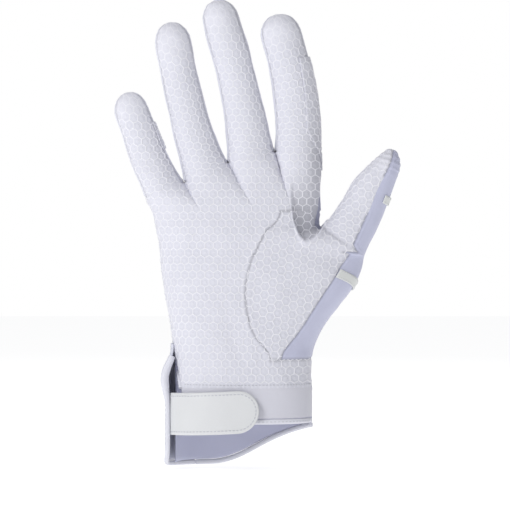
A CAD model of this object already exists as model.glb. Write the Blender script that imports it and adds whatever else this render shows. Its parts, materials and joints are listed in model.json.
"""Looks of the thin right-hand grip glove: fabric skin, honeycomb print, cuff, strap and light."""
import json
import math
import random
from functools import partial

import bmesh
import bpy
import numpy as np
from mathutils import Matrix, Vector, noise
from mathutils.bvhtree import BVHTree
from mathutils.interpolate import poly_3d_calc
from mathutils.kdtree import KDTree


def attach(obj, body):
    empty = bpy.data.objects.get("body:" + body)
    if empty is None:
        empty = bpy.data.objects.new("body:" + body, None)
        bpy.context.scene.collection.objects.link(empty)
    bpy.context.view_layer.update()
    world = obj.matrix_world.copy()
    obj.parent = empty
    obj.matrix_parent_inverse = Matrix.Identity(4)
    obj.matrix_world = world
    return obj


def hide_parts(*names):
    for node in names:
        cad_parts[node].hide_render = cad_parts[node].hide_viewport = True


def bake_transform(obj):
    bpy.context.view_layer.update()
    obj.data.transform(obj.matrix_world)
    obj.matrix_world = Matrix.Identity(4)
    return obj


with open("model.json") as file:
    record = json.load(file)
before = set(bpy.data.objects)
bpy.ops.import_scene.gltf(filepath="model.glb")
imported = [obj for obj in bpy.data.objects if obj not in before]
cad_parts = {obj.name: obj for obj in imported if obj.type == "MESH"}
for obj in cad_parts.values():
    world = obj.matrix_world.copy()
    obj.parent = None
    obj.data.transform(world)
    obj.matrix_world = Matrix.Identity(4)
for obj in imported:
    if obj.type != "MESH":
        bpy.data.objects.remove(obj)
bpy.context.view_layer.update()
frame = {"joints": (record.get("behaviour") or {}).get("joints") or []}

MM = 0.001

# ---- The glove's own measures, in millimetres, as the frame was made from ----

WRIST_W, WRIST_T = 68.5, 46.0
BAND_LOW, BAND_TOP = 2.0, 17.0
HEM_HIGH, HEM_LOW = -1.0, -21.0
HEEL_Z, KNUCKLE_X, PALM_L = 31.0, 38.7, 135.3
HEEL_T, PALM_T = 40.0, 30.0
FABRIC, BINDING_R, SEAM_GAP = 1.2, 1.3, 0.15
STRAP_W, STRAP_T, PAD_T, STRAP_GAP = 21.0, 1.3, 0.7, 0.35
SLIT_OPEN, TIP_ROUND = 3.4, 9.0
NAMES = ["little", "ring", "middle", "index", "thumb"]
LENGTH = [52, 76.5, 79.5, 68.5, 52]
BASE_W = [21.1, 23.9, 24.3, 23.3, 27.1]
JOINT_W = [18.4, 19.4, 20, 21.8, 21]
BASE_T = [20, 21.5, 21.5, 21.5, 23]
BASE_LEAN = [22, 25.3, 13.8, 0, -34.6]
START_LEAN = [29, 20, 6, -3, -38]
TIP_LEAN = [21.6, 13.6, 13.1, 9.4, -25.2]
CREASES = [[0, 0.4, 0.7, 1], [0, 0.37, 0.69, 1], [0, 0.37, 0.69, 1], [0, 0.38, 0.7, 1], [0, 0.53, 1]]
THUMB = 4
STEP, CELLS, COLUMNS = 22.5, 8, 32
THUMB_ROW, WEB_ROW, TOP_ROW = 6, 14, 18
CURVE_COLUMN, SEAM_COLUMN, SEAM_ROW = 20, 28, 8
CUFF_ROWS = 3
OVAL, THUMB_OVAL = 2.4, 1.55
SEAM_FOOT, SEAM_SLOPE, CURVE_LIMIT, SEAM_LIMIT, PANEL_LEAST = 0.27, 0.665, 0.78, 0.94, 0.05


def mix(a, b, k):
    return a + (b - a) * k


def smooth(k):
    s = min(1.0, max(0.0, k))
    return s * s * (3 - 2 * s)


def across(lean):
    return np.array([math.cos(math.radians(lean)), math.sin(math.radians(lean))])


def along(lean):
    return np.array([-math.sin(math.radians(lean)), math.cos(math.radians(lean))])


def spread(a, b, count):
    """Even steps from a to b."""
    return [mix(a, b, k / count) for k in range(count + 1)]


def corner(k):
    """Corner of the knuckle line at the left of digit k, or at its right end for 4."""
    p = np.array([KNUCKLE_X, PALM_L])
    for d in range(3, k - 1, -1):
        p = p - BASE_W[d] * across(BASE_LEAN[d])
    return p


BASE_MID = [(corner(d) + corner(d + 1)) / 2 for d in range(4)] + [np.array([49.2, 89.3])]
DOME = [TIP_ROUND / length for length in LENGTH]


def path(d, t):
    p0 = BASE_MID[d]
    p1 = p0 + 0.4 * LENGTH[d] * along(START_LEAN[d])
    p2 = p0 + LENGTH[d] * along(TIP_LEAN[d])
    return p0 * (1 - t) ** 2 + p1 * 2 * t * (1 - t) + p2 * t * t


def lean(d, t):
    p1 = 0.4 * LENGTH[d] * along(START_LEAN[d])
    p2 = LENGTH[d] * along(TIP_LEAN[d])
    v = p1 * (1 - t) + (p2 - p1) * t
    return mix(BASE_LEAN[d], math.degrees(math.atan2(-v[0], v[1])), smooth(t / 0.2))


def half_w(d, t):
    joint, base = JOINT_W[d] / 2, BASE_W[d] / 2
    return np.interp(t, [0, 0.12, CREASES[d][1], 1], [base, mix(base, joint, 0.55), joint, joint - 1])


def half_t(d, t):
    joint = JOINT_W[d] * 0.86 / 2
    return np.interp(t, [0, CREASES[d][1], 1], [BASE_T[d] / 2, joint, joint - 2])


def skin(d, t, phi):
    """Point of a digit's skin at the share t of its length and the angle phi, 90 on the grip side."""
    start = 1 - DOME[d]
    s = max(0.0, (t - start) / DOME[d])
    body = min(t, start)
    turn = math.sqrt(max(0.0, 1 - s * s))
    u = body + s * TIP_ROUND / LENGTH[d]
    c, v = math.cos(math.radians(phi)), math.sin(math.radians(phi))
    p = path(d, u) + across(lean(d, body)) * half_w(d, body) * turn * c
    return np.array([p[0], -half_t(d, body) * turn * v, p[1]])


HEEL_END = skin(THUMB, 0, 0)
WEB_END = skin(THUMB, 0, 180)
WEB_ROW_Z = WEB_END[2] + 7
LEFT_TOP = corner(0)


def row_z(r):
    if r == 0:
        return BAND_TOP
    if r <= THUMB_ROW:
        return mix(HEEL_Z, HEEL_END[2], (r - 1) / (THUMB_ROW - 1))
    return mix(HEEL_END[2], WEB_END[2], (r - THUMB_ROW) / CELLS) if r <= WEB_ROW else WEB_ROW_Z


def in_ring(r):
    return THUMB_ROW <= r <= WEB_ROW


def left_x(z):
    h = (z - HEEL_Z) / (LEFT_TOP[1] - HEEL_Z)
    bow = np.interp(h, [0, 0.1, 0.5, 0.72, 0.91, 1], [0, 0.06, 0.4, 0.52, 0.75, 1])
    return mix(-WRIST_W / 2, LEFT_TOP[0], bow)


def right_x(z):
    return mix(WRIST_W / 2, HEEL_END[0], smooth((z - HEEL_Z) / (HEEL_END[2] - HEEL_Z)))


def row_right(r):
    if r < THUMB_ROW:
        return np.array([right_x(row_z(r)), row_z(r)])
    if r <= WEB_ROW:
        return skin(THUMB, 0, (r - THUMB_ROW) * STEP)[[0, 2]]
    return np.array([KNUCKLE_X, WEB_ROW_Z])


def half_depth(z):
    heel_middle = mix(HEEL_Z, BASE_MID[THUMB][1], 0.35)
    return np.interp(z, [BAND_TOP, heel_middle, WEB_ROW_Z], [WRIST_T / 2, HEEL_T / 2, PALM_T / 2])


def top_point(j, side):
    d = min(3, j // CELLS)
    p = skin(d, 0, 180 - (j - d * CELLS) * STEP)
    return np.array([p[0], -side * p[1], p[2]])


SHARE = [(top_point(j, -1)[0] - LEFT_TOP[0]) / (KNUCKLE_X - LEFT_TOP[0]) for j in range(COLUMNS + 1)]
CURVE_R = 47.5
CURVE_MID = [BASE_MID[THUMB][0] - 0.6, (HEEL_Z + WEB_ROW_Z) / 2 - 4]


def seam_share(x, r):
    left = left_x(row_z(r))
    return (x - left) / (row_right(r)[0] - left)


def row_share(r, j):
    z = row_z(r)
    s, s1, s2 = SHARE[j], SHARE[CURVE_COLUMN], SHARE[SEAM_COLUMN]
    curve_x = CURVE_MID[0] - math.sqrt(max(0, CURVE_R**2 - (z - CURVE_MID[1]) ** 2))
    seam_x = WRIST_W * SEAM_FOOT + (z - HEEL_Z) * SEAM_SLOPE
    c1 = s1 if r == 0 or r > WEB_ROW + 1 else min(CURVE_LIMIT, seam_share(curve_x, r))
    c2 = s2 if r == 0 or r > SEAM_ROW else min(SEAM_LIMIT, seam_share(seam_x, r))
    c2 = max(c1 + PANEL_LEAST, c2)
    if j <= CURVE_COLUMN:
        return s / s1 * c1
    return mix(c1, c2, (s - s1) / (s2 - s1)) if j <= SEAM_COLUMN else mix(c2, 1, (s - s2) / (1 - s2))


def low_point(r, j, side):
    cut = SLIT_OPEN / WRIST_W if side < 0 and r == 0 else 0
    s = mix(cut, 1, row_share(r, j))
    z, end = row_z(r), row_right(r)
    depth = half_depth(z)
    ring_y = abs(skin(THUMB, 0, (r - THUMB_ROW) * STEP)[1]) if in_ring(r) else 0
    n = OVAL if s < 0.5 else mix(OVAL, THUMB_OVAL, smooth(1 - abs(r - THUMB_ROW - 3) / 7))
    arch = max(0, 1 - abs(2 * s - 1) ** n) ** (1 / n)
    high = arch if s < 0.5 else ring_y / depth + (1 - ring_y / depth) * arch
    return np.array([mix(left_x(z), end[0], s), side * depth * high, mix(z, end[1], s)])


def hand_point(r, j, side):
    if r <= WEB_ROW + 1:
        return low_point(r, j, side)
    k = r - WEB_ROW - 1
    low, top = low_point(WEB_ROW + 1, j, side), top_point(j, side)
    place = mix(low, top, [0, 0.35, 0.7, 1][k])
    return np.array([place[0], mix(low[1], top[1], [0, 0.12, 0.5, 1][k]), place[2]])


def hem_z(phi):
    return mix(HEM_HIGH, HEM_LOW, smooth(-phi / 130))


def wrist_point(phi, z, off=0.0):
    n, c, s = OVAL, math.cos(math.radians(phi)), math.sin(math.radians(phi))
    a, b = WRIST_W / 2 + off, WRIST_T / 2 + off
    r = 1 / ((abs(c) / a) ** n + (abs(s) / b) ** n) ** (1 / n)
    return np.array([r * c, -r * s, z])


# ---- The skin's base mesh, one quad net over the whole glove ----

points, index, quads, labels = [], {}, [], []


def vertex(p):
    key = tuple(int(round(float(c) * 200)) for c in p)
    for dx in (0, -1, 1):
        for dy in (0, -1, 1):
            for dz in (0, -1, 1):
                near = (key[0] + dx, key[1] + dy, key[2] + dz)
                if near in index:
                    return index[near]
    index[key] = len(points)
    points.append(np.array(p, float))
    return index[key]


def quad(a, b, c, d, label):
    ring = []
    for v in (a, b, c, d):
        if v not in ring:
            ring.append(v)
    if len(ring) > 2:
        quads.append(ring)
        labels.append(label)


def stations(d):
    """Shares of a digit's length at the rows of its net, and the zone that each row of faces is in."""
    c, start = CREASES[d], 1 - DOME[d]
    ts = [0.12 * c[1], 0.3 * c[1], 0.65 * c[1], c[1]]
    zones = ["knuckle", "knuckle", "knuckle", "joint"]
    if d != THUMB:
        ts += [mix(c[1], c[2], 0.5), c[2]]
        zones += ["joint", "tip"]
    last = c[-2]
    ts += [mix(last, start, 0.5), start]
    ts += [mix(start, 1, math.sin(math.radians(a))) for a in (25, 48, 68, 84, 90)]
    zones += ["joint" if d == THUMB else "tip"] * 7
    return [0] + ts, zones


def digit_panel(d, j):
    """Which panel the cell j round a digit is in; cell 0 starts at the left side and goes over the grip."""
    if d == THUMB:
        return "grip" if j in (15, 0, 1, 2, 3, 4, 5) else "back"
    return "grip" if 1 <= j <= 6 else "back" if 9 <= j <= 14 else "sides"


def build_net():
    front, back = [
        [[vertex(hand_point(r, j, side)) for j in range(COLUMNS + 1)] for r in range(TOP_ROW + 1)]
        for side in (-1, 1)
    ]
    for i in range(TOP_ROW):
        for j in range(COLUMNS):
            heel = 1 <= i <= WEB_ROW and j >= CURVE_COLUMN
            side = 1 <= i < SEAM_ROW and j >= SEAM_COLUMN
            label = "thumb_heel_side" if side else "thumb_heel_grip" if heel else "palm_panel"
            quad(front[i][j], front[i][j + 1], front[i + 1][j + 1], front[i + 1][j], (label, "hand"))
    for i in range(TOP_ROW):
        for j in range(COLUMNS):
            side = 1 <= i <= WEB_ROW and j >= SEAM_COLUMN + 1
            label = "thumb_heel_side" if side else "back_panel"
            quad(back[i][j + 1], back[i][j], back[i + 1][j], back[i + 1][j + 1], (label, "hand"))
    rows = []
    for k in range(CUFF_ROWS, 0, -1):
        row = []
        for j in range(COLUMNS + 1):
            p = hand_point(0, j, 1)
            angle = math.degrees(math.atan2(-p[1], p[0]))
            row.append(vertex([p[0], p[1], mix(BAND_TOP, hem_z(min(0, angle)), k / CUFF_ROWS)]))
        rows.append(row)
    rows.append(back[0])
    for i in range(CUFF_ROWS):
        for j in range(COLUMNS):
            quad(rows[i][j + 1], rows[i][j], rows[i + 1][j], rows[i + 1][j + 1], ("back_panel", "hand"))
    for d in range(5):
        ts, zones = stations(d)
        rings = [[vertex(skin(d, t, 180 - j * STEP)) for j in range(16)] for t in ts]
        for i in range(len(ts) - 1):
            for j in range(16):
                k = (j + 1) % 16
                label = (f"{NAMES[d]}_{digit_panel(d, j)}", zones[i])
                quad(rings[i][j], rings[i][k], rings[i + 1][k], rings[i + 1][j], label)


build_net()
base = np.array(points)

# ---- From the net to a smooth skin ----


def mesh_object(name, verts, faces, materials=()):
    data = bpy.data.meshes.new(name)
    data.from_pydata([tuple(v) for v in verts], [], [tuple(int(i) for i in f) for f in faces])
    obj = bpy.data.objects.new(name, data)
    bpy.context.scene.collection.objects.link(obj)
    for m in materials:
        data.materials.append(m)
    data.polygons.foreach_set("use_smooth", [True] * len(data.polygons))
    return obj


def positions(data):
    co = np.zeros(len(data.vertices) * 3)
    data.vertices.foreach_get("co", co)
    return co.reshape(-1, 3)


def subdivided(obj, levels):
    """Mesh of a Catmull-Clark surface that passes through the object's own points."""
    target = positions(obj.data)
    control = target.copy()
    mod = obj.modifiers.new("smooth", "SUBSURF")
    mod.boundary_smooth = "PRESERVE_CORNERS"
    for level in (1, 1, 1, levels):
        mod.levels = level
        obj.data.vertices.foreach_set("co", control.ravel())
        obj.data.update()
        shown = obj.evaluated_get(bpy.context.evaluated_depsgraph_get())
        done = bpy.data.meshes.new_from_object(shown)
        if level == 1:
            control += target - positions(done)[: len(target)]
    return done


label_ids = sorted(set(labels))
net = mesh_object("net", base * MM, quads)
for _ in label_ids:
    net.data.materials.append(None)
net.data.polygons.foreach_set("material_index", [label_ids.index(x) for x in labels])
bm = bmesh.new()
bm.from_mesh(net.data)
bmesh.ops.recalc_face_normals(bm, faces=bm.faces)
if max(bm.faces, key=lambda f: f.calc_center_median().y).normal.y < 0:
    bmesh.ops.reverse_faces(bm, faces=bm.faces)
bm.to_mesh(net.data)
bm.free()
LEVELS = 3
fine = subdivided(net, LEVELS)
POINTS = positions(fine) / MM
FACES = np.zeros(len(fine.loops), int)
fine.loops.foreach_get("vertex_index", FACES)
FACES = FACES.reshape(-1, 4)
face_label = np.zeros(len(FACES), int)
fine.polygons.foreach_get("material_index", face_label)
bpy.data.objects.remove(net)
EDGES = np.unique(np.sort(np.vstack([FACES[:, [k, (k + 1) % 4]] for k in range(4)]), axis=1), axis=0)


def crease_softness():
    """How near a point is to a crease at the root of a digit, from 0 to 1."""
    zone = np.array([x[1] == "hand" for x in label_ids])[face_label]
    touches = np.zeros((len(POINTS), 2), bool)
    for k in range(4):
        touches[FACES[:, k], zone.astype(int)] = True
    ring = np.where(touches.all(axis=1))[0]
    tree = KDTree(len(ring))
    for i, k in enumerate(ring):
        tree.insert(POINTS[k], i)
    tree.balance()
    return np.exp(-((np.array([tree.find(p)[2] for p in POINTS]) / 3.2) ** 2))


def relaxed(points_in, weight, rounds):
    """Points drawn towards the middle of their neighbours, by weight."""
    count = np.bincount(EDGES.ravel(), minlength=len(POINTS)).astype(float)
    out = points_in.copy()
    for _ in range(rounds):
        for c in range(3):
            total = np.bincount(EDGES[:, 0], out[EDGES[:, 1], c], len(POINTS))
            total += np.bincount(EDGES[:, 1], out[EDGES[:, 0], c], len(POINTS))
            out[:, c] += (total / count - out[:, c]) * weight
    return out


HEEL_FRONT = (POINTS[:, 0] > 8) & (POINTS[:, 2] > 72) & (POINTS[:, 2] < 108) & (POINTS[:, 1] < -3)
POINTS = relaxed(POINTS, 0.5 * np.maximum(crease_softness(), 0.8 * HEEL_FRONT), 14 * 4 ** (LEVELS - 2))


def vertex_normals(points, faces):
    n = np.cross(points[faces[:, 2]] - points[faces[:, 0]], points[faces[:, 3]] - points[faces[:, 1]])
    total = np.zeros_like(points)
    for k in range(4):
        np.add.at(total, faces[:, k], n)
    return total / (np.linalg.norm(total, axis=1)[:, None] + 1e-12)


NORMALS = vertex_normals(POINTS, FACES)


def cloth_of(panel):
    """The piece of cloth that a panel is cut from: a crease inside one cloth is not a seam."""
    if panel == "palm_panel" or panel.endswith("_grip") and "thumb" not in panel:
        return "palm"
    if panel == "back_panel" or panel.endswith("_back") and "thumb" not in panel:
        return "back"
    if panel in ("thumb_heel_grip", "thumb_grip"):
        return "gusset"
    return "thumb_side" if "thumb" in panel else panel


CLOTHS = sorted({cloth_of(x[0]) for x in label_ids})
cloth_face = np.array([CLOTHS.index(cloth_of(x[0])) for x in label_ids])[face_label]


def seam_distance():
    """Distance of each point from the nearest seam, in millimetres."""
    owner, found = {}, set()
    for f, c in zip(FACES.tolist(), cloth_face.tolist()):
        for a, b in zip(f, f[1:] + f[:1]):
            key = (a, b) if a < b else (b, a)
            if owner.setdefault(key, c) != c:
                found.update(key)
    tree = KDTree(len(found))
    for i, k in enumerate(sorted(found)):
        if not (POINTS[k][0] > 23.5 and 103.5 < POINTS[k][2] < 122 and POINTS[k][1] < 0):
            tree.insert(POINTS[k], i)
    tree.balance()
    return np.array([tree.find(p)[2] for p in POINTS])


# ---- Flat coordinates of the print, in millimetres ----

QS = np.linspace(0, 0.995, 60)
ARCH = 20 * (1 - QS**OVAL) ** (1 / OVAL)
EXTRA = np.concatenate([[0], np.cumsum(np.hypot(np.diff(QS) * 35, np.diff(ARCH)))]) - QS * 35
PATHS = [np.array([path(d, t) for t in np.linspace(0, 1.02, 103)]) for d in range(5)]


def palm_flat(p):
    x0 = -5.0
    q = min(0.99, max(0.0, (x0 - p[0]) / (x0 - left_x(max(p[2], HEEL_Z)))))
    keep = smooth((108 - p[2]) / 26)
    return p[0] - keep * float(np.interp(q, QS, EXTRA)), p[2]


def digit_place(d, p):
    """Share of length, angle, distance round and distance along, for a point near a digit."""
    q = np.array([p[0], p[2]])
    near = np.linalg.norm(PATHS[d] - q, axis=1)
    k = int(np.argmin(near))
    a, b = PATHS[d][max(0, k - 1)], PATHS[d][min(102, k + 1)]
    u = float(np.clip((q - a) @ (b - a) / ((b - a) @ (b - a)), 0, 1))
    t = (max(0, k - 1) + u * (min(102, k + 1) - max(0, k - 1))) / 100
    centre = a + (b - a) * u
    x = float((q - centre) @ across(lean(d, min(t, 1))))
    w, h = half_w(d, min(t, 1)), half_t(d, min(t, 1))
    phi = math.degrees(math.atan2(-p[1] / h, x / w))
    return t, phi, x, w, h


def digit_flat(d, p):
    t, phi, x, w, h = digit_place(d, p)
    if phi < -120:
        phi += 360
    angles = np.radians(np.linspace(phi, 90, 24))
    steps = np.hypot(w * np.diff(np.cos(angles)), h * np.diff(np.sin(angles)))
    arc = math.copysign(float(steps.sum()), 90 - phi)
    length = t * LENGTH[d]
    s = mix(x, arc, smooth(length / 11))
    if d == THUMB:
        return s, length
    q = BASE_MID[d] + s * across(BASE_LEAN[d]) + length * along(BASE_LEAN[d])
    return float(q[0]), float(q[1])


def heel_flat(p):
    q = np.array([p[0], p[2]]) - BASE_MID[THUMB]
    return float(q @ across(BASE_LEAN[THUMB])), float(q @ along(BASE_LEAN[THUMB]))


def print_strength(panel, p):
    """The print fades out towards the fingertips."""
    name = panel.split("_")[0]
    if name not in NAMES or panel.startswith("thumb_heel"):
        return 1.0
    t = digit_place(NAMES.index(name), p)[0]
    return 1 - 0.75 * smooth((t - 0.72) / 0.2)


FLAT_OF = {"palm_panel": palm_flat, "thumb_heel_grip": heel_flat}
FLAT_OF.update({name + "_grip": partial(digit_flat, d) for d, name in enumerate(NAMES)})

# The thumb's seam turns towards the front by these angles, from its base to its tip, after a short start
SEAM_TURN, SEAM_START = (24, 44), 0.05
POINT_DEPTH, POINT_START = 0.38, 0.57


def thumb_shape():
    """Slides the cloth round the thumb to its real seam, and points the tip."""
    thumb_ids = [k for k, x in enumerate(label_ids) if x[0] in ("thumb_grip", "thumb_back")]
    used = np.unique(FACES[np.isin(face_label, thumb_ids)])
    out = POINTS.copy()
    for i in used:
        t, phi, x, w, h = digit_place(THUMB, POINTS[i])
        if t <= 0.005:
            continue
        seam_at = STEP + mix(*SEAM_TURN, t) * smooth(t / SEAM_START)
        turned = phi
        if -60 <= phi <= 150:
            turned = float(np.interp(phi, [-60, STEP, 150], [-60, seam_at, 150]))
        c0, s0, c1, s1 = [f(math.radians(a)) for a in (phi, turned) for f in (math.cos, math.sin)]
        size = min(1.0, math.hypot(x / w, POINTS[i][1] / h))
        lean_now = across(lean(THUMB, min(t, 1)))
        side = w * (c1 - c0) * size
        point = (w - (x + side)) * POINT_DEPTH * smooth((t - POINT_START) / (1 - POINT_START))
        sideways = lean_now * (side + point)
        out[i] += np.array([sideways[0], -h * (s1 - s0) * size, sideways[1]])
    return out


POINTS = thumb_shape()
SEAM = seam_distance()

# ---- Relief of the cloth: seams, puckers and soft folds ----


def fold(p, a, b, width, depth):
    """A soft groove from a to b, seen from the palm, deepest in its middle."""
    a, b, q = np.array(a), np.array(b), np.array([p[0], p[2]])
    t = float(np.clip((q - a) @ (b - a) / ((b - a) @ (b - a)), 0, 1))
    gap = float(np.linalg.norm(q - a - (b - a) * t))
    return -depth * math.sin(math.pi * min(0.95, max(0.05, t))) * math.exp(-((gap / width) ** 2))


# The web's fold laps over the root of the index finger: the height of its rim, from left to right
RIM_X = [23.4, 24.3, 25.4, 27.4, 30.5, 34, 37.5, 41, 50]
RIM_Z = [108, 103.5, 98, 92.8, 89.6, 90.2, 93.6, 99, 112]


def pocket(p, n):
    """How far inside the pocket behind the web's fold a point lies, from 0 to 1."""
    if n[1] > 0.25 or not (23.4 < p[0] < 50 and 88 < p[2] < 132):
        return 0.0
    above = p[2] - float(np.interp(p[0], RIM_X, RIM_Z))
    return smooth(above / 1.6) * smooth((p[0] - 23.4) / 1.6)


def shaded_side(p, n):
    """The side of the index finger's root that turns away towards the thumb."""
    if not (30 < p[0] < 52 and 96 < p[2] < 160):
        return 0.0
    return smooth((n[0] - 0.15) / 0.6) * (1 - smooth((p[2] - 128) / 28))


FOLDS = [
    ((-30, 104), (-8, 116), 3.0, 0.5), ((-20, 112), (6, 122), 3.0, 0.45), ((4, 121), (28, 126), 3.0, 0.4),
    ((-2, 30), (-10, 60), 4.0, 0.5), ((22, 60), (38, 76), 3.5, 0.5), ((34, 55), (46, 72), 2.5, 0.45),
]
BACK_FOLDS = [
    ((-36, 100), (-10, 112), 3.5, 0.6), ((8, 120), (30, 122), 3.0, 0.5), ((-20, 24), (18, 27), 3.0, 0.6),
]


def tip_layers(p):
    """The sewn layers round the end of the thumb: low steps that follow its tip."""
    if p[0] < 56 or p[2] < 112:
        return 0.0
    t = digit_place(THUMB, p)[0]
    return 0.17 * math.sin(t * LENGTH[THUMB] * 2 * math.pi / 2.3) * smooth((t - 0.76) / 0.08)


GROOVE_DEPTH, GROOVE_WIDTH = 0.42, 0.45
RIDGE_HIGH, RIDGE_AWAY, RIDGE_WIDTH = 0.16, 1.4, 0.7


def relief(i):
    """How far the cloth stands out at a point: seams, folds, puckers and the web's pocket."""
    p, n, gap = POINTS[i], NORMALS[i], SEAM[i]
    seam = -GROOVE_DEPTH * math.exp(-((gap / GROOVE_WIDTH) ** 2))
    seam += RIDGE_HIGH * math.exp(-(((gap - RIDGE_AWAY) / RIDGE_WIDTH) ** 2))
    v = Vector(p)
    soft = 0.42 * noise.noise(v / 15) + 0.2 * noise.noise(v / 6.5 + Vector((9, 3, 5)))
    folds = sum(fold(p, *f) for f in (FOLDS if n[1] < 0.1 else BACK_FOLDS)) if p[2] < 130 else 0
    sunk = -3.2 * pocket(p, n) * (1 - smooth((p[2] - 99) / 24)) * (1 - 0.6 * smooth((p[0] - 36) / 6))
    lip = p[2] - float(np.interp(p[0], RIM_X, RIM_Z))
    at_lip = 24 < p[0] < 42 and n[1] < 0 and 86 < p[2] < 108
    raised = 0.7 * math.exp(-(((lip + 1.3) / 1.3) ** 2)) if at_lip else 0
    pucker = 0.1 * math.sin(p[2] * 2.1) * math.exp(-((gap / 2.2) ** 2))
    return seam + soft + folds + pucker + sunk + raised + tip_layers(p)


POINTS = POINTS + NORMALS * np.array([relief(i) for i in range(len(POINTS))])[:, None]
STAIN = np.array([max(0.9 * pocket(p, n) * (1 - smooth((p[2] - 104) / 22)), 0.75 * shaded_side(p, n))
                  for p, n in zip(POINTS, NORMALS)])
NORMALS = vertex_normals(POINTS, FACES)

# ---- Pieces of the skin, one for each panel and zone ----

JOINTS = {j["name"]: j for j in frame["joints"]}
PITCH = 4.2
# The printed line's half width, its height, how deep its foot is sunk, and how far it may reach past an edge
PRINT_HALF, PRINT_HIGH, PRINT_SUNK, PRINT_REACH = 0.27, 0.2, 0.08, 0.32
PRINT_LOW, INSIDE_TOP = 18.9, 60


def bend(obj, name, zone):
    """Rides the piece on its body, or bends it over its joint."""
    d = NAMES.index(name)
    size = LENGTH[d] / 76
    if zone == "knuckle":
        joint, before, after = JOINTS[name + "_knuckle"], 0, 13.5 * min(1, size * 1.25)
        if d == THUMB:
            after = 15
    elif zone == "joint":
        key = "_end_joint" if d == THUMB else "_middle_joint"
        joint, before, after = JOINTS[name + key], -7 * size, 7.5 * size
    else:
        joint, before, after = JOINTS[name + "_end_joint"], -7 * size, 8 * size
    a, pos = joint["axis"], Vector(joint["pos_m"])
    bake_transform(obj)


def zone_stretch(name, zone):
    if name == "thumb":
        return {"knuckle": "lower", "joint": "tip"}[zone]
    return {"knuckle": "lower", "joint": "middle", "tip": "tip"}[zone]


def bead_lines(points_in, normals_in, uv, polygons, owners, strength):
    """Raised print over a stretch of cloth: for each owner, the points and faces of its beads."""
    flat = [Vector((a, b, 0)) for a, b in uv]
    tree = BVHTree.FromPolygons(flat, [tuple(f) for f in polygons])
    made = {}
    lo, hi = np.min(uv, axis=0), np.max(uv, axis=0)
    radius = PITCH / math.sqrt(3)
    rows = range(int(lo[1] / (1.5 * radius)) - 1, int(hi[1] / (1.5 * radius)) + 2)

    def place(a, b):
        hit, _, k, _ = tree.find_nearest(Vector((a, b, 0)), PRINT_REACH)
        if hit is None or sum(points_in[i][2] for i in polygons[k]) < 4 * PRINT_LOW:
            return None
        ring = polygons[k]
        w = poly_3d_calc([flat[i] for i in ring], hit)
        point = sum(points_in[i] * x for i, x in zip(ring, w))
        normal = sum(normals_in[i] * x for i, x in zip(ring, w))
        shown = sum(strength[i] * x for i, x in zip(ring, w))
        return point, normal / np.linalg.norm(normal), owners[k], shown

    for row in rows:
        for col in range(int(lo[0] / PITCH) - 2, int(hi[0] / PITCH) + 2):
            cx, cy = (col + 0.5 * (row % 2)) * PITCH, row * 1.5 * radius
            if tree.find_nearest(Vector((cx, cy, 0)), PITCH)[0] is None:
                continue
            for angle in (-30, 30, 90):
                ends = [(cx + radius * math.cos(math.radians(t)), cy + radius * math.sin(math.radians(t)))
                        for t in (angle, angle + 60)]
                chain = [place(mix(ends[0][0], ends[1][0], k / 4), mix(ends[0][1], ends[1][1], k / 4))
                         for k in range(5)]
                for k in range(4):
                    if chain[k] is None or chain[k + 1] is None:
                        continue
                    verts, faces = made.setdefault(chain[k][2], ([], []))
                    way = chain[k + 1][0] - chain[k][0]
                    start = len(verts)
                    for point, normal, _, s in (chain[k], chain[k + 1]):
                        side = np.cross(normal, way)
                        side /= np.linalg.norm(side) + 1e-9
                        wide = PRINT_HALF * (0.6 + 0.4 * s)
                        for across_by, up_by in ((-1, 0), (-0.55, 1), (0.55, 1), (1, 0)):
                            rise = PRINT_HIGH * s if up_by else -PRINT_SUNK
                            verts.append(point + side * wide * across_by + normal * rise)
                    for e in range(3):
                        faces.append([start + e, start + 4 + e, start + 5 + e, start + 1 + e])
    return made


def finish_piece(name, verts, faces, flat, seam, marks, materials, replaced=(), normals=None):
    obj = mesh_object(name, np.array(verts) * MM, faces, materials)
    if normals is not None:
        blank = np.zeros((len(verts) - len(normals), 3))
        obj.data.normals_split_custom_set_from_vertices(np.vstack([normals, blank]).tolist())
    obj.data.polygons.foreach_set("material_index", marks)
    attribute = obj.data.attributes.new("flat", "FLOAT_VECTOR", "POINT")
    attribute.data.foreach_set("vector", np.array(flat, float).ravel())
    attribute = obj.data.attributes.new("seam", "FLOAT", "POINT")
    attribute.data.foreach_set("value", np.array(seam, float))
    for node in replaced:
        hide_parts(node)
    return obj


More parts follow.
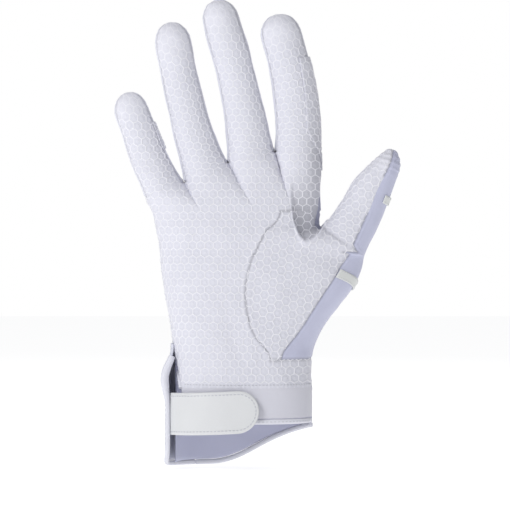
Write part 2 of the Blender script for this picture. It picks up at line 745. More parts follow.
def build_skin(materials):
    """One piece for each panel and zone of the skin, with its share of the raised print."""
    flat = np.zeros((len(POINTS), 3))
    flat[:, 0], flat[:, 1] = POINTS[:, 0], POINTS[:, 2]
    seam = np.maximum(np.exp(-((SEAM / 0.6) ** 2)), STAIN)
    beads = {}
    for panel, mapping in FLAT_OF.items():
        chosen = np.isin(face_label, [k for k, x in enumerate(label_ids) if x[0] == panel])
        used = np.unique(FACES[chosen])
        uv, strength = np.zeros((len(POINTS), 2)), np.zeros(len(POINTS))
        for i in used:
            uv[i] = mapping(POINTS[i])
            strength[i] = print_strength(panel, POINTS[i])
        flat[used, :2] = uv[used]
        flat[used, 2] = strength[used]
        polygons, owners = FACES[chosen].tolist(), face_label[chosen].tolist()
        beads.update(bead_lines(POINTS, NORMALS, uv, polygons, owners, strength))
    for k, (panel, zone) in enumerate(label_ids):
        used, local = np.unique(FACES[face_label == k], return_inverse=True)
        faces = local.reshape(-1, 4).tolist()
        verts, coords, dark = list(POINTS[used]), list(flat[used]), list(seam[used])
        if zone == "hand":
            add_inside(used, faces, verts, coords, dark)
        marks = [0] * len(faces)
        if k in beads:
            start = len(verts)
            extra, bead_faces = beads[k]
            verts += extra
            faces += [[start + i for i in f] for f in bead_faces]
            marks += [1] * len(bead_faces)
            coords += [(0, 0, 1)] * len(extra)
            dark += [0] * len(extra)
        kind = "grip" if panel in FLAT_OF else "side" if panel.endswith("_sides") else "back"
        node = panel if zone == "hand" else f"{panel}_{zone_stretch(panel.split('_')[0], zone)}"
        obj = finish_piece(f"{panel}_{zone}_cloth", verts, faces, coords, dark, marks, materials[kind],
                           [node], NORMALS[used])
        if zone == "hand":
            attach(obj, "hand")
        else:
            bend(obj, panel.split("_")[0], zone)


def add_inside(used, faces, verts, coords, dark):
    """Gives the hand's cloth an inner face too, as far up as the opening lets one see."""
    low = POINTS[used][:, 2] < INSIDE_TOP
    border = dict.fromkeys((a, b) for f in faces for a, b in zip(f, f[1:] + f[:1]))
    inner, extra = {}, []
    for f in faces:
        if all(low[i] for i in f):
            for i in f:
                if i not in inner:
                    inner[i] = len(verts)
                    verts.append(POINTS[used[i]] - NORMALS[used[i]] * 1.0)
                    coords.append(coords[i])
                    dark.append(0)
            extra.append([inner[i] for i in reversed(f)])
    for a, b in border:
        if (b, a) not in border and a in inner and b in inner:
            extra.append([b, a, inner[a], inner[b]])
    faces += extra


# ---- Materials ----


class Graph:
    """Short names for building a material's nodes."""

    def __init__(self, name, colour, roughness):
        self.material = bpy.data.materials.new(name)
        self.material.use_nodes = True
        self.nodes, self.links = self.material.node_tree.nodes, self.material.node_tree.links
        self.shader = self.nodes["Principled BSDF"]
        self.shader.inputs["Base Color"].default_value = (*colour, 1)
        self.shader.inputs["Roughness"].default_value = roughness

    def node(self, kind, **inputs):
        made = self.nodes.new(kind)
        for key, value in inputs.items():
            target = made.inputs[int(key[1:])] if key[0] == "i" and key[1:].isdigit() else made.inputs[key]
            if isinstance(value, bpy.types.NodeSocket):
                self.links.new(value, target)
            else:
                target.default_value = value
        return made

    def math(self, operation, a, b=0.0, c=0.0):
        made = self.node("ShaderNodeMath", i0=a, i1=b, i2=c)
        made.operation = operation
        return made.outputs[0]

    def vector(self, operation, a, b=(0, 0, 0)):
        made = self.nodes.new("ShaderNodeVectorMath")
        made.operation = operation
        for k, value in enumerate((a, b)):
            if isinstance(value, bpy.types.NodeSocket):
                self.links.new(value, made.inputs[k])
            else:
                made.inputs[k].default_value = value
        return made.outputs["Value" if operation in ("LENGTH", "DOT_PRODUCT") else "Vector"]

    def attribute(self, name):
        made = self.nodes.new("ShaderNodeAttribute")
        made.attribute_name = name
        return made

    def noise(self, coords, scale, detail=3.0):
        return self.node("ShaderNodeTexNoise", Vector=coords, Scale=scale, Detail=detail).outputs[0]

    def blend(self, factor, a, b, kind="MIX"):
        made = self.nodes.new("ShaderNodeMix")
        made.data_type = "RGBA"
        made.blend_type = kind
        for socket, value in ((0, factor), (6, a), (7, b)):
            if isinstance(value, bpy.types.NodeSocket):
                self.links.new(value, made.inputs[socket])
            else:
                made.inputs[socket].default_value = value
        return made.outputs[2]

    def bump(self, height, strength, distance, before=None):
        made = self.node("ShaderNodeBump", Strength=strength, Distance=distance, Height=height)
        if before is not None:
            self.links.new(before, made.inputs["Normal"])
        return made.outputs[0]

    def done(self, colour=None, normal=None, roughness=None):
        if colour is not None:
            self.links.new(colour, self.shader.inputs["Base Color"])
        if normal is not None:
            self.links.new(normal, self.shader.inputs["Normal"])
        if roughness is not None:
            self.links.new(roughness, self.shader.inputs["Roughness"])
        return self.material


def knit(g, coords, size):
    """Height of a fine knit: rows of small loops of that size in millimetres."""
    scaled = g.vector("MULTIPLY", coords, (1 / size, 1 / size, 1 / size))
    parts = g.node("ShaderNodeSeparateXYZ", Vector=scaled)
    wales = g.math("SINE", g.math("MULTIPLY", parts.outputs[0], 2 * math.pi))
    shifted = g.math("ADD", parts.outputs[1], g.math("MULTIPLY", wales, 0.18))
    rows = g.math("SINE", g.math("MULTIPLY", shifted, 2 * math.pi))
    return g.math("ADD", g.math("MULTIPLY", wales, 0.5), g.math("MULTIPLY", rows, 0.5))


def shade(c, k):
    return (c[0] * k, c[1] * k, c[2] * k, 1)


def cloth_material(name, colour, roughness, size, printed):
    g = Graph(name, colour, roughness)
    g.shader.inputs["Sheen Weight"].default_value = 0.25
    g.shader.inputs["Sheen Roughness"].default_value = 0.45
    flat = g.attribute("flat")
    coords = g.vector("MULTIPLY", flat.outputs["Vector"], (1, 1, 0))
    place = g.node("ShaderNodeTexCoord").outputs["Object"]
    cloudy = g.noise(place, 45, 4)
    cloudy = g.math("MULTIPLY", g.math("SUBTRACT", cloudy, 0.35), 1.3)
    shown = g.blend(cloudy, shade(colour, 0.965), shade(colour, 1.03))
    weave = knit(g, coords, size)
    shown = g.blend(g.math("MULTIPLY_ADD", weave, 0.12, 0.12), shown, shade(colour, 0.9))
    normal = g.bump(weave, 0.35, 0.00012)
    if printed:
        gap = hexagons(g, coords)
        strength = g.node("ShaderNodeSeparateXYZ", Vector=flat.outputs["Vector"]).outputs[2]
        patches = g.math("MULTIPLY_ADD", g.noise(place, 70, 1), 1.6, -0.25)
        ring = g.node("ShaderNodeMapRange", Value=gap, i1=0.30, i2=0.45)
        ring.interpolation_type = "SMOOTHSTEP"
        core = g.node("ShaderNodeMapRange", Value=gap, i1=1.15, i2=1.6)
        core.interpolation_type = "SMOOTHSTEP"
        band = g.math("SUBTRACT", ring.outputs[0], g.math("MULTIPLY", core.outputs[0], 0.55))
        uneven = g.math("MULTIPLY_ADD", patches, 0.5, 0.5)
        depth = g.math("MULTIPLY", g.math("MULTIPLY", band, strength), uneven)
        shown = g.blend(depth, shown, shade((colour[0], colour[1] * 1.005, colour[2] * 1.02), 0.885))
        normal = g.bump(core.outputs[0], 0.5, 0.00018, normal)
    dark = g.attribute("seam").outputs["Fac"]
    shown = g.blend(g.math("MULTIPLY", dark, 0.6), shown, shade(colour, 0.52))
    fuzz = g.noise(place, 2600, 2)
    normal = g.bump(fuzz, 0.12, 0.0001, normal)
    return g.done(shown, normal, g.math("MULTIPLY_ADD", fuzz, 0.15, roughness - 0.07))


def hexagons(g, coords):
    """Distance in millimetres from the nearest printed line."""
    height = PITCH * math.sqrt(3)
    found = []
    for shift in (0, 0.5):
        moved = g.vector("ADD", coords, (PITCH * (1000.5 + shift), height * (1000.5 + shift), 0))
        cell = g.node("ShaderNodeVectorMath", i0=moved, i1=(PITCH, height, 1))
        cell.operation = "MODULO"
        found.append(g.vector("SUBTRACT", cell.outputs[0], (PITCH / 2, height / 2, 0)))
    a, b = found
    nearer = g.math("LESS_THAN", g.vector("LENGTH", a), g.vector("LENGTH", b))
    pick = g.nodes.new("ShaderNodeMix")
    pick.data_type = "VECTOR"
    g.links.new(nearer, pick.inputs[0])
    g.links.new(b, pick.inputs[4])
    g.links.new(a, pick.inputs[5])
    q = g.node("ShaderNodeSeparateXYZ", Vector=g.vector("ABSOLUTE", pick.outputs[1]))
    x, y = q.outputs[0], q.outputs[1]
    slanted = g.math("ADD", g.math("MULTIPLY", x, 0.5), g.math("MULTIPLY", y, math.sqrt(3) / 2))
    return g.math("SUBTRACT", PITCH / 2, g.math("MAXIMUM", x, slanted))


def plain_material(name, colour, roughness, grain, depth, sheen=0.0, patchy=0.05):
    g = Graph(name, colour, roughness)
    g.shader.inputs["Sheen Weight"].default_value = sheen
    place = g.node("ShaderNodeTexCoord").outputs["Object"]
    fine_grain = g.noise(place, grain, 4)
    broad = g.noise(place, 60, 3)
    shown = g.blend(g.math("MULTIPLY_ADD", broad, 1.4, -0.2), shade(colour, 1 - patchy), shade(colour, 1.02))
    shown = g.blend(g.math("MULTIPLY", fine_grain, 0.16), shown, shade(colour, 0.82))
    normal = g.bump(fine_grain, 0.4, depth)
    return g.done(shown, normal, g.math("MULTIPLY_ADD", fine_grain, 0.2, roughness - 0.1))


def leather_material(name, colour):
    g = Graph(name, colour, 0.48)
    place = g.node("ShaderNodeTexCoord").outputs["Object"]
    cells = g.node("ShaderNodeTexVoronoi", Vector=place, Scale=1500.0)
    pores = g.node("ShaderNodeMapRange", Value=cells.outputs["Distance"], i1=0.05, i2=0.6).outputs[0]
    broad = g.noise(place, 90, 4)
    shown = g.blend(g.math("MULTIPLY_ADD", broad, 1.2, -0.1), shade(colour, 0.955), shade(colour, 1.02))
    shown = g.blend(g.math("MULTIPLY_ADD", pores, -0.12, 0.12), shown, shade(colour, 0.85))
    worn = g.attribute("seam").outputs["Fac"]
    shown = g.blend(g.math("MULTIPLY", worn, 0.4), shown, shade(colour, 0.8))
    normal = g.bump(pores, 0.25, 0.0001, g.bump(broad, 0.3, 0.0004))
    return g.done(shown, normal, g.math("MULTIPLY_ADD", broad, 0.25, 0.36))


WHITE = (0.785, 0.785, 0.86)
LILAC = (0.60, 0.615, 0.785)
PALE = (0.74, 0.75, 0.845)
bead = plain_material("print_silicone", (0.85, 0.85, 0.905), 0.42, 900, 0.00004)
GRIP = cloth_material("grip_knit", WHITE, 0.78, 0.42, True)
BACK = cloth_material("stretch_knit", LILAC, 0.6, 0.34, False)
FLAP = cloth_material("cuff_knit", PALE, 0.6, 0.34, False)
SIDE = cloth_material("side_knit", (0.775, 0.78, 0.865), 0.72, 0.38, False)
LEATHER = leather_material("strap_leather", (0.705, 0.715, 0.73))
BAR = leather_material("bar_leather", (0.74, 0.755, 0.745))
BINDING = cloth_material("binding_tape", (0.78, 0.785, 0.86), 0.7, 0.5, False)
ELASTIC = cloth_material("elastic_knit", (0.69, 0.69, 0.765), 0.62, 0.6, False)
THREAD = plain_material("thread", (0.56, 0.57, 0.62), 0.7, 3000, 0.00008, 0.3)
LOOP = plain_material("loop_pile", (0.74, 0.745, 0.80), 0.9, 1400, 0.0004, 0.5)
HOOK = plain_material("hook_plastic", (0.78, 0.78, 0.80), 0.45, 800, 0.00005)
build_skin({"grip": [GRIP, bead], "back": [BACK], "side": [SIDE]})

# ---- Cuff, strap and trim ----

STRAP_ROOT, STRAP_HINGE, STRAP_END, STRAP_Z, STRAP_RISE = 190, 163, 73, 3.8, 2.2
FLAP_BACK, FLAP_EDGE, FLAP_RISE, FLAP_CLOSING = 218, 169, 26, 17
FLAP_TOP = HEEL_Z + 7.5
FLAP_CORNER, CORNER_LIFT = 200, 5
FLAP_BULGE, BULGE_Z, BULGE_REACH = 1.7, 23, 17
# The hem's tape starts under the end of the flap's tape, so that they overlap
HEM_START, HEM_END = FLAP_BACK - 362.6, -2
STRAP_LOW = SEAM_GAP + 2 * PAD_T + STRAP_GAP
FLAP_LIFT = STRAP_LOW + STRAP_T + STRAP_GAP
PATCH_T, BAR_ROW, BAR_DROP, BAR_ROWS, BAR_ABOVE, BAR_W = 0.7, THUMB_ROW - 1, 0.6, 0.4, 0.8, 4
PAD_Z, PAD_TALL, PAD_STEP, HOOK_STEP, HOOK_HALF, HOOK_LONG = 3.0, 14.0, 0.7, 1.15, 0.2, 0.24
HOOK_FACES = ((0, 1, 5, 4), (1, 2, 6, 5), (2, 3, 4, 6), (3, 0, 4), (4, 5, 6))
STITCH_Z = 18.6
TAPE_SIDES, TAPE_CAP = 20, ((0.0, 0.5), (0.08, 0.8), (0.25, 0.96), (0.5, 1.0))
FINGER_PATCH_R, FINGER_PATCH_OFF, PATCH_SIDE, PATCH_FOOT = 0.28, 0.1, -14.0, -0.2
SLIT_EDGE = [hand_point(0, 0, -1), hand_point(1, 0, -1)]
SLIT_ANGLE = math.degrees(math.atan2(-SLIT_EDGE[0][1], SLIT_EDGE[0][0]))
skin_tree = BVHTree.FromPolygons([Vector(p) for p in POINTS], [tuple(f) for f in FACES.tolist()])


def unit(v):
    return v / (np.linalg.norm(v) + 1e-12)


def out_of(p):
    return unit(np.array([p[0], p[1], 0.0]))


def beside(edge):
    last = len(edge) - 1
    ways = [edge[min(last, i + 1)] - edge[max(0, i - 1)] for i in range(last + 1)]
    return [p + (BINDING_R + SEAM_GAP) * unit(np.cross(out_of(p), way)) for p, way in zip(edge, ways)]


def on_skin(p, off):
    hit, _, k, _ = skin_tree.find_nearest(Vector(p))
    ring = FACES[k]
    w = poly_3d_calc([Vector(POINTS[i]) for i in ring], hit)
    return np.array(hit) + unit(sum(NORMALS[i] * x for i, x in zip(ring, w))) * off


def joined(name, parts, nodes, body=None):
    """One object from (points, faces, flat coordinates, material) parts."""
    verts, faces, flat, marks, materials, dark = [], [], [], [], [], []
    for points_in, faces_in, flat_in, material, *stain in parts:
        if material not in materials:
            materials.append(material)
        start = len(verts)
        verts += list(points_in)
        faces += [[start + i for i in f] for f in faces_in]
        marks += [materials.index(material)] * len(faces_in)
        flat += list(flat_in) if flat_in is not None else [(0, 0, 0)] * len(points_in)
        dark += stain[0] if stain else [0] * len(points_in)
    obj = finish_piece(name, verts, faces, flat, dark, marks, materials, nodes)
    bm = bmesh.new()
    bm.from_mesh(obj.data)
    bmesh.ops.remove_doubles(bm, verts=bm.verts, dist=2e-6)
    bmesh.ops.dissolve_degenerate(bm, edges=bm.edges, dist=1e-7)
    bmesh.ops.recalc_face_normals(bm, faces=bm.faces)
    bm.to_mesh(obj.data)
    bm.free()
    if body:
        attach(obj, body)
    return obj


ROUND_EDGE = (0.0, 0.1, 0.35, 1.0)


def spaced(length, r, step, open_start=False, open_end=False):
    """Places along a length, close together where the edge is rounded."""
    first = [0.0] if open_start else [k * r for k in ROUND_EDGE]
    final = [length] if open_end else [length - k * r for k in reversed(ROUND_EDGE)]
    n = max(1, int((final[0] - first[-1]) / step))
    return first + [mix(first[-1], final[0], k / n) for k in range(1, n)] + final


def slab(place, us, columns, depth, low, high, wave=None):
    """A sheet with rounded edges, between two offsets from a surface."""
    half, mid = (high - low) / 2, (high + low) / 2
    verts, flat, top, bottom = [], [], [], []
    for u in us:
        up, down = [], []
        for v in columns(u):
            d = max(0.0, min(1.0, depth(u, v) / half))
            h = half * math.sqrt(max(0.0, 1 - (1 - d) ** 2))
            lift = wave(u, v) * d if wave else 0
            verts.append(place(u, v, mid + h + lift))
            up.append(len(verts) - 1)
            verts.append(place(u, v, mid - h))
            down.append(len(verts) - 1)
            flat += [(u, v, 1), (u, v, 1)]
        top.append(up)
        bottom.append(down)
    faces = []
    for i in range(len(us) - 1):
        for j in range(len(top[0]) - 1):
            faces.append([top[i][j], top[i][j + 1], top[i + 1][j + 1], top[i + 1][j]])
            faces.append([bottom[i][j], bottom[i + 1][j], bottom[i + 1][j + 1], bottom[i][j + 1]])
    return verts, faces, flat


def lengths_along(line):
    """Length of a line up to each of its points."""
    return np.concatenate([[0], np.cumsum([np.linalg.norm(b - a) for a, b in zip(line, line[1:])])])


def stitches(points_along, normals, length, radius):
    """A row of thread stitches, as a part: each a small rounded bead laid along the line."""
    verts, faces = [], []
    steps = lengths_along(points_along)
    pitch = length * 1.6
    for s in np.arange(pitch * 0.5, steps[-1] - length * 0.5, pitch):
        k = int(np.searchsorted(steps, s)) - 1
        share = (s - steps[k]) / (steps[k + 1] - steps[k] + 1e-9)
        centre = mix(points_along[k], points_along[k + 1], share)
        way, up = unit(points_along[k + 1] - points_along[k]), unit(normals[k])
        side = np.cross(up, way)
        start = len(verts)
        for along_k, size in ((-0.5, 0.25), (-0.38, 0.85), (0, 1.0), (0.38, 0.85), (0.5, 0.25)):
            for q in range(6):
                a = math.radians(60 * q)
                verts.append(
                    centre + way * length * along_k
                    + (side * math.cos(a) * radius + up * (math.sin(a) * radius * 0.9)) * size
                )
        for ring in range(4):
            for q in range(6):
                a, b = start + ring * 6 + q, start + ring * 6 + (q + 1) % 6
                faces.append([a, b, b + 6, a + 6])
        faces += [[start + q for q in range(6)], [start + 24 + q for q in range(5, -1, -1)]]
    return verts, faces, None, THREAD


def smoothed(points_in, times):
    pts = [np.array(p, float) for p in points_in]
    for _ in range(times):
        between = [(pts[i - 1] + 2 * pts[i] + pts[i + 1]) / 4 for i in range(1, len(pts) - 1)]
        pts = [pts[0], *between, pts[-1]]
    return pts


def tape_dip(k):
    """How far the side k of a tape is pulled in: the sewn groove outside, and a soft one inside."""
    outside, inside = (k - TAPE_SIDES / 4) / 1.3, (k - TAPE_SIDES * 0.75) / 1.4
    return 0.2 * math.exp(-(outside**2)) + 0.12 * math.exp(-(inside**2))


def rolled(name, node, edge, soften=0, fatness=None):
    """A rolled tape along an edge: two soft lobes with a groove between them, sewn where it is even."""
    axis = smoothed(beside([np.array(p, float) for p in edge]), soften)
    rings = [(axis[0] + unit(axis[1] - axis[0]) * BINDING_R * a, b) for a, b in TAPE_CAP]
    rings += [(p, 1.0) for p in axis[2:-2]]
    rings += [(axis[-1] + unit(axis[-2] - axis[-1]) * BINDING_R * a, b) for a, b in reversed(TAPE_CAP)]
    verts, faces, flat, groove, up_of, run = [], [], [], [], [], 0.0
    for i, (p, size) in enumerate(rings):
        ahead, behind = rings[min(len(rings) - 1, i + 1)][0], rings[max(0, i - 1)][0]
        way = unit(ahead - behind)
        up = unit(out_of(p) - way * (out_of(p) @ way))
        side = np.cross(way, up)
        run += float(np.linalg.norm(p - behind)) if i else 0
        fat = fatness(p) if fatness else 1
        for k in range(TAPE_SIDES):
            t = 2 * math.pi * k / TAPE_SIDES
            rough = 0.025 * noise.noise(Vector(p) * 0.6 + Vector((k * 0.2, 0, 0)))
            r = BINDING_R * size * fat * (1.0 - tape_dip(k) + rough)
            verts.append(p + side * math.cos(t) * r + up * math.sin(t) * r)
            flat.append((run, k * 2 * math.pi * BINDING_R / TAPE_SIDES, 1))
        if size == 1.0:
            groove.append(p + up * BINDING_R * 0.84 * fat)
            up_of.append(up)
    for i in range(len(rings) - 1):
        for k in range(TAPE_SIDES):
            a, b = i * TAPE_SIDES + k, i * TAPE_SIDES + (k + 1) % TAPE_SIDES
            faces.append([a, b, b + TAPE_SIDES, a + TAPE_SIDES])
    last = (len(rings) - 1) * TAPE_SIDES
    faces += [list(range(TAPE_SIDES - 1, -1, -1)), list(range(last, last + TAPE_SIDES))]
    sewn = [] if fatness else [stitches(groove, up_of, 1.25, 0.17)]
    joined(name, [(verts, faces, flat, BINDING), *sewn], [node], "hand")


def arc_map(phi0, phi1, off):
    """Length round the wrist from phi0 to phi1, and the angle at a length."""
    phis = np.linspace(phi0, phi1, 400)
    steps = lengths_along([wrist_point(p, 0, off) for p in phis])
    return float(steps[-1]), lambda s: float(np.interp(s, steps, phis))


def flap_edge(phi, z):
    return wrist_point(phi, z, flap_off(phi, z) + FABRIC / 2)


def flap_fatness(p):
    """The flap's tape is fattest above the strap, and thins out towards its top end."""
    return 1 + 0.75 * smooth((p[2] - 8) / 12) * (1 - 0.55 * smooth((p[2] - 24) / 11))


def build_bindings():
    inner = -FABRIC / 2
    cuff = [wrist_point(phi, BAND_LOW, inner) for phi in spread(10, SLIT_ANGLE, 90)]
    hem = [wrist_point(phi, hem_z(phi), inner) for phi in spread(HEM_START, HEM_END, 110)]
    rolled("cuff_tape", "cuff_binding", cuff)
    rolled("hem_tape", "hem_binding", hem)
    rolled("slit_tape", "slit_binding", [
        mix(SLIT_EDGE[0], SLIT_EDGE[1], s) - out_of(SLIT_EDGE[0]) * FABRIC / 2 for s in spread(0.04, 0.58, 14)
    ])
    down = [flap_edge(FLAP_EDGE, z) for z in spread(FLAP_TOP - 6, flap_low(FLAP_EDGE) + 1, 40)]
    along_low = [flap_edge(phi, flap_low(phi)) for phi in np.linspace(FLAP_EDGE + 1.5, FLAP_BACK - 0.8, 40)]
    rolled("flap_tape", "flap_binding", down + along_low, 6, flap_fatness)


def flap_off(phi, z):
    """How far the flap stands off the wrist, so that it clears the strap below it."""
    k = smooth((FLAP_BACK - phi) / FLAP_RISE)
    bulge = FLAP_BULGE * math.cos(math.radians(min(90, abs(z - BULGE_Z) * 90 / BULGE_REACH))) ** 2
    closing = smooth((FLAP_TOP - z) / FLAP_CLOSING)
    past_wrist = max(0, -WRIST_W / 2 - left_x(z))
    return SEAM_GAP + k * closing * (FLAP_LIFT + bulge) + past_wrist


def flap_low(phi):
    return hem_z(phi - 360) + CORNER_LIFT * max(0, (FLAP_CORNER - phi) / (FLAP_CORNER - FLAP_EDGE)) ** 2


def build_flap():
    length, phi_at = arc_map(FLAP_BACK, FLAP_EDGE, FLAP_LIFT)
    tall, r, stitch_in, stitch_v = FLAP_TOP - hem_z(-150), FABRIC / 2, 2.2, 0.97

    def place(u, v, off):
        phi = phi_at(u)
        z = mix(flap_low(phi), FLAP_TOP, v)
        return wrist_point(phi, z, flap_off(phi, z) + off)

    def depth(u, v):
        return min(length - u, u + 0.05, v * tall, (1 - v) * tall)

    def wave(u, v):
        return 0.16 * math.sin(u * 0.5 + v * 9) * math.sin(v * 21 + u * 0.2)

    vs = [s / tall for s in spaced(tall, r, 1.3)]
    verts, faces, flat = slab(place, spaced(length, r, 1.2), lambda u: vs, depth, 0, FABRIC, wave)
    flat = [(u, v * tall, 1) for u, v, _ in flat]
    lines = [
        [place(length - stitch_in, v, FABRIC + 0.06) for v in spread(stitch_v, 0.05, 60)],
        [place(u, stitch_v, FABRIC + 0.06) for u in spread(length - stitch_in, 1, 30)],
    ]
    rows = [stitches(line, [out_of(p) for p in line], 1.5, 0.17) for line in lines]
    joined("cuff_flap_cloth", [(verts, faces, flat, FLAP), *rows], ["cuff_flap"], "hand")


def build_elastic():
    length, phi_at = arc_map(SLIT_ANGLE, 0, 0)

    def place(u, v, off):
        return wrist_point(phi_at(u), v, off)

    def depth(u, v):
        return min(u, length - u + 0.3, v - BAND_LOW)

    def ribs(u, v):
        return 0.07 * math.sin(v * 2 * math.pi / 1.9) + 0.05 * noise.noise(Vector((u / 5, v / 3, 1)))

    vs = [BAND_LOW + s for s in spaced(BAND_TOP - BAND_LOW, FABRIC / 2, 0.9, open_end=True)]
    part = slab(place, spaced(length, FABRIC / 2, 0.9), lambda u: vs, depth, -FABRIC, 0, ribs)
    joined("elastic_band_cloth", [(*part, ELASTIC)], ["elastic_band"], "hand")
    line = [on_skin(wrist_point(phi, STITCH_Z), 0.1) for phi in spread(SLIT_ANGLE - 4, 8, 100)]
    joined("cuff_stitches", [stitches(line, [out_of(p) for p in line], 1.1, 0.2)], [], "hand")


def strap_mid(phi):
    return STRAP_Z + STRAP_RISE * (STRAP_HINGE - phi) / (STRAP_HINGE - STRAP_END)


def build_strap():
    length, phi_at = arc_map(STRAP_ROOT, STRAP_END, STRAP_LOW + STRAP_T / 2)
    half, r = STRAP_W / 2, STRAP_T / 2
    centre = length - half

    def place(u, v, off):
        phi = phi_at(min(u, length))
        return wrist_point(phi, strap_mid(phi) + v, off)

    def reach(u):
        return half if u < centre else half * math.sqrt(max(0, 1 - ((u - centre) / half) ** 2))

    def columns(u):
        h = reach(u)
        rim = [min(0.0, -h + k * r) for k in ROUND_EDGE]
        inner = max(0.0, h - r)
        return rim + [mix(-inner, inner, k / 14) for k in range(1, 14)] + [-v for v in reversed(rim)]

    def depth(u, v):
        across_edge = half - abs(v) if u < centre else half - math.hypot(u - centre, v)
        return min(u + 0.02, across_edge)

    def crease(u, v):
        return 0.1 * noise.noise(Vector((u / 9, v / 9, 4))) + 0.03 * noise.noise(Vector((u / 2, v / 2, 8)))

    us = spaced(centre, r, 1.5)[:-4] + [centre + half * math.sin(math.radians(a)) for a in range(0, 85, 7)]
    us += [length - k * r for k in (0.6, 0.35, 0.18, 0.06, 0.0)]
    band = slab(place, us, columns, depth, STRAP_LOW, STRAP_LOW + STRAP_T, crease)
    inset = half - 1.7
    line = [(u, -inset) for u in np.linspace(1.5, centre, 120)]
    turns = [math.radians(a) for a in range(-88, 89, 4)]
    line += [(centre + inset * math.cos(a), inset * math.sin(a)) for a in turns]
    line += [(u, inset) for u in np.linspace(centre, 1.5, 120)]
    path_on = [place(u, v, STRAP_LOW + STRAP_T + 0.05) for u, v in line]
    sewn = stitches(path_on, [out_of(p) for p in path_on], 1.15, 0.24)
    strap = joined("strap_band", [(*band, LEATHER), sewn], ["wrist_strap", "strap_root"])
    hinge = Vector(JOINTS["strap_fold"]["pos_m"])
    here = wrist_point(STRAP_HINGE, 0, STRAP_LOW)
    way = Vector(unit(wrist_point(STRAP_HINGE - 1, 0, STRAP_LOW) - here))
    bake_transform(strap)


def hook_rows(place, length, low):
    """Small bent hooks in rows under a pad."""
    verts, faces = [], []
    rise = np.array([0, 0, HOOK_HALF])
    for u in np.arange(1.2, length - 1, HOOK_STEP):
        for v in np.arange(PAD_Z + 1, PAD_Z + 12.5, HOOK_STEP):
            foot, tip = place(u, v, low), place(u, v, low - HOOK_LONG)
            side = unit(place(u + 0.3, v, low) - foot) * HOOK_HALF
            start = len(verts)
            verts += [
                foot - side - rise, foot + side - rise, foot + side + rise, foot - side + rise,
                tip - side * 0.9, tip + side * 1.2 - rise * 0.3, tip + side * 1.2 + rise * 0.6,
            ]
            faces += [[start + k for k in f] for f in HOOK_FACES]
    return verts, faces


def build_pad(name, node, material, low, body, hooked):
    """A pad on the cuff or under the strap, with a pile of loops or rows of hooks."""
    last = STRAP_END + STRAP_W / WRIST_T * 36
    length, phi_at = arc_map(mix(STRAP_HINGE - 1, last, 5 / 12), last, low + PAD_T / 2)

    def place(u, v, off):
        return wrist_point(phi_at(u), v, off)

    def top(u):
        return strap_mid(phi_at(u)) + STRAP_W / 2 - 2

    def columns(u):
        return [PAD_Z + s / PAD_TALL * (top(u) - PAD_Z) for s in spaced(PAD_TALL, PAD_T / 2, PAD_STEP)]

    def depth(u, v):
        return min(u, length - u, v - PAD_Z, top(u) - v)

    random.seed(11)
    pile = None if hooked else lambda u, v: random.uniform(-0.16, 0.0)
    part = slab(place, spaced(length, PAD_T / 2, PAD_STEP), columns, depth, low, low + PAD_T, pile)
    hooks = [(*hook_rows(place, length, low), None, material)] if hooked else []
    joined(name, [(*part, material), *hooks], [node], body)


def build_bar(name, node, pairs, body):
    """A stitched leather bar between pairs of points, laid on the cloth under it."""
    a, b = np.array([p[0] for p in pairs]), np.array([p[1] for p in pairs])
    steps = lengths_along((a + b) / 2)
    length, wide = float(steps[-1]), float(np.median(np.linalg.norm(b - a, axis=1)))
    r, top, inset = PATCH_T / 2, SEAM_GAP + PATCH_T, 0.7

    def place(u, v, off):
        p, q = [np.array([np.interp(u, steps, side[:, c]) for c in range(3)]) for side in (a, b)]
        return on_skin(mix(p, q, v / wide), off)

    def depth(u, v):
        return min(u, length - u, v, wide - v)

    vs = spaced(wide, r, 0.6)
    part = slab(place, spaced(length, r, 0.7), lambda u: vs, depth, SEAM_GAP, top)
    us = np.linspace(0.8, length - 0.8, 60)
    rows = []
    for v in (inset, wide - inset):
        normals = [place(u, v, 2) - place(u, v, 1) for u in us]
        rows.append(stitches([place(u, v, top + 0.03) for u in us], normals, 0.95, 0.13))
    joined(name, [(*part, BAR), *rows], [node], body)


def build_bars():
    columns = list(range(SEAM_COLUMN, COLUMNS + 1))
    places = [(j, -1, BAR_ROW - BAR_DROP * (j - SEAM_COLUMN) / (COLUMNS - SEAM_COLUMN)) for j in columns]
    places += [(j, 1, BAR_ROW - BAR_DROP) for j in columns[-2::-1]]

    def on_rows(s, j, side):
        r = math.floor(s)
        return mix(hand_point(r, j, side), hand_point(r + 1, j, side), s - r)

    lower = [(on_rows(s, j, side), on_rows(s + BAR_ROWS, j, side)) for j, side, s in places]
    t0, t1 = [CREASES[THUMB][1] + up / LENGTH[THUMB] for up in (BAR_ABOVE, BAR_ABOVE + BAR_W)]
    upper = [(skin(THUMB, t0, phi), skin(THUMB, t1, phi)) for phi in np.arange(45, -158, -7.5)]
    build_bar("thumb_strip_lower", "thumb_bar_lower", lower, "hand")
    build_bar("thumb_strip_upper", "thumb_bar_upper", upper, "thumb_tip")


def index_patch_front(t):
    """Angle of the index patch's front edge: it slopes up from the finger's side, then stays in front."""
    return mix(-6, 68, (t - PATCH_FOOT) / 0.36) if t < 0.16 else mix(68, 60, (t - 0.16) / 0.5)


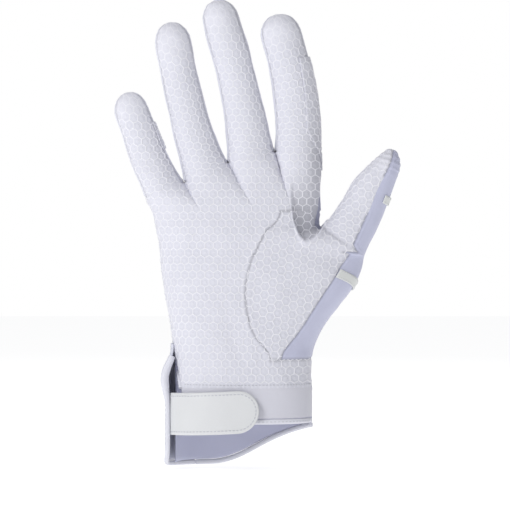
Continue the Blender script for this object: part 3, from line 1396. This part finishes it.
def build_patch(name, node, d, t0, t1, front, zone, open_low=False, open_high=False):
    """A grip patch sewn on a finger, which bends with the cloth below it."""
    length, low, r = (t1 - t0) * LENGTH[d], FINGER_PATCH_OFF, FINGER_PATCH_R

    def place(u, v, off):
        t = t0 + u / LENGTH[d]
        return on_skin(skin(d, t, mix(front(t), PATCH_SIDE, v)), off)

    def wide_at(u):
        return math.radians(front(t0 + u / LENGTH[d]) - PATCH_SIDE) * 11.0

    def depth(u, v):
        ends = ([] if open_low else [u]) + ([] if open_high else [length - u])
        return min(v * wide_at(u), (1 - v) * wide_at(u), *ends)

    def outward(u, v):
        return place(u, v, 2) - place(u, v, 1)

    wide = wide_at(length * 0.8)
    us, vs = spaced(length, r, 0.8, open_low, open_high), [s / wide for s in spaced(wide, r, 0.7)]
    pts, faces, _ = slab(place, us, lambda u: vs, depth, low, low + 2 * r)
    flat = [(*digit_flat(d, p), 1) for p in pts]
    normals = np.array([unit(outward(u, v)) for u in us for v in vs for _ in (0, 1)])
    outer = faces[0::2]
    owners, full = [0] * len(outer), np.ones(len(pts))
    extra, extra_faces = bead_lines(np.array(pts), normals, np.array(flat)[:, :2], outer, owners, full)[0]
    stain = [0.75 * shaded_side(p, n) for p, n in zip(pts, normals)]
    sewn = np.linspace(6 if open_high else 0.3, length - 0.3, 40)
    rows = []
    for v in (1.1 / wide, 1 - 1.1 / wide):
        line = [place(u, v, low + 2 * r + 0.04) for u in sewn]
        rows.append(stitches(line, [outward(u, v) for u in sewn], 1.0, 0.12))
    parts = [(pts, faces, flat, GRIP, stain), (extra, extra_faces, [(0, 0, 1)] * len(extra), bead), *rows]
    obj = joined(name, parts, [node])
    if zone == "ride":
        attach(obj, "little_middle")
    else:
        bend(obj, "index", zone)


def build_patches():
    index, little = NAMES.index("index"), NAMES.index("little")
    cut, top = CREASES[index][1] / 2, CREASES[index][2] - 0.01
    build_patch("index_patch_knuckle_cloth", "index_patch_lower", index, PATCH_FOOT, cut, index_patch_front,
                "knuckle", open_high=True)
    build_patch("index_patch_joint_cloth", "index_patch_middle", index, cut, top, index_patch_front,
                "joint", open_low=True)
    build_patch("little_patch_cloth", "little_patch", little, CREASES[little][1] + 0.01,
                CREASES[little][2] - 0.01, lambda t: 30.0, "ride")


build_elastic()
build_bindings()
build_flap()
build_strap()
build_pad("loop_pile", "loop_pad", LOOP, SEAM_GAP, "hand", False)
build_pad("hook_tape", "hook_pad", HOOK, STRAP_LOW - PAD_T, "strap", True)
build_bars()
build_patches()

# ---- Camera, light and floor ----

CAMERA_AWAY, VIEW_WIDTH, SENSOR, MIDDLE = 1.2, 0.255, 36, (0, 0, 0.09)
KEY, FILL, BACKLIGHT, WORLD, FLOOR = 8.6, 0.5, 2.0, 0.34, -0.0246


def look_at(obj, target):
    obj.rotation_euler = (Vector(target) - obj.location).to_track_quat("-Z", "Y").to_euler()


def area_light(name, place, size, power):
    data = bpy.data.lights.new(name, "AREA")
    data.shape = "DISK"
    data.size, data.energy = size, power
    lamp = bpy.data.objects.new(name, data)
    bpy.context.scene.collection.objects.link(lamp)
    lamp.location = place
    look_at(lamp, MIDDLE)


def build_studio():
    scene = bpy.context.scene
    scene.view_settings.view_transform = "Standard"
    data = bpy.data.cameras.new("camera")
    camera = bpy.data.objects.new("camera", data)
    scene.collection.objects.link(camera)
    camera.location = (0.00575, -CAMERA_AWAY, 0.0825)
    camera.rotation_euler = (math.radians(90), 0, 0)
    data.sensor_width = SENSOR
    data.lens = SENSOR * CAMERA_AWAY / VIEW_WIDTH
    scene.camera = camera
    area_light("key", (-0.85, -0.85, 0.7), 0.6, KEY)
    area_light("fill", (0.8, -0.7, 0.25), 0.7, FILL)
    area_light("rim", (0.2, 0.8, 0.7), 0.6, BACKLIGHT)
    world = bpy.data.worlds.new("world")
    scene.world = world
    world.use_nodes = True
    nodes, links = world.node_tree.nodes, world.node_tree.links
    shown = nodes.new("ShaderNodeBackground")
    shown.inputs["Strength"].default_value = 1.0
    nodes["Background"].inputs["Color"].default_value = (0.96, 0.97, 1, 1)
    nodes["Background"].inputs["Strength"].default_value = WORLD
    which = nodes.new("ShaderNodeMixShader")
    rays = nodes.new("ShaderNodeLightPath")
    shown.inputs["Color"].default_value = (1, 1, 1, 1)
    links.new(rays.outputs["Is Camera Ray"], which.inputs[0])
    links.new(nodes["Background"].outputs[0], which.inputs[1])
    links.new(shown.outputs[0], which.inputs[2])
    links.new(which.outputs[0], nodes["World Output"].inputs["Surface"])
    corners = [(-3, -3), (3, -3), (3, 3), (-3, 3)]
    floor = mesh_object("floor", [(x, y, FLOOR) for x, y in corners], [(0, 1, 2, 3)])
    g = Graph("floor_paint", (0.45, 0.45, 0.45), 0.9)
    g.shader.inputs["Emission Color"].default_value = (1, 1, 1, 1)
    g.shader.inputs["Emission Strength"].default_value = 0.8
    floor.data.materials.append(g.done())


build_studio()
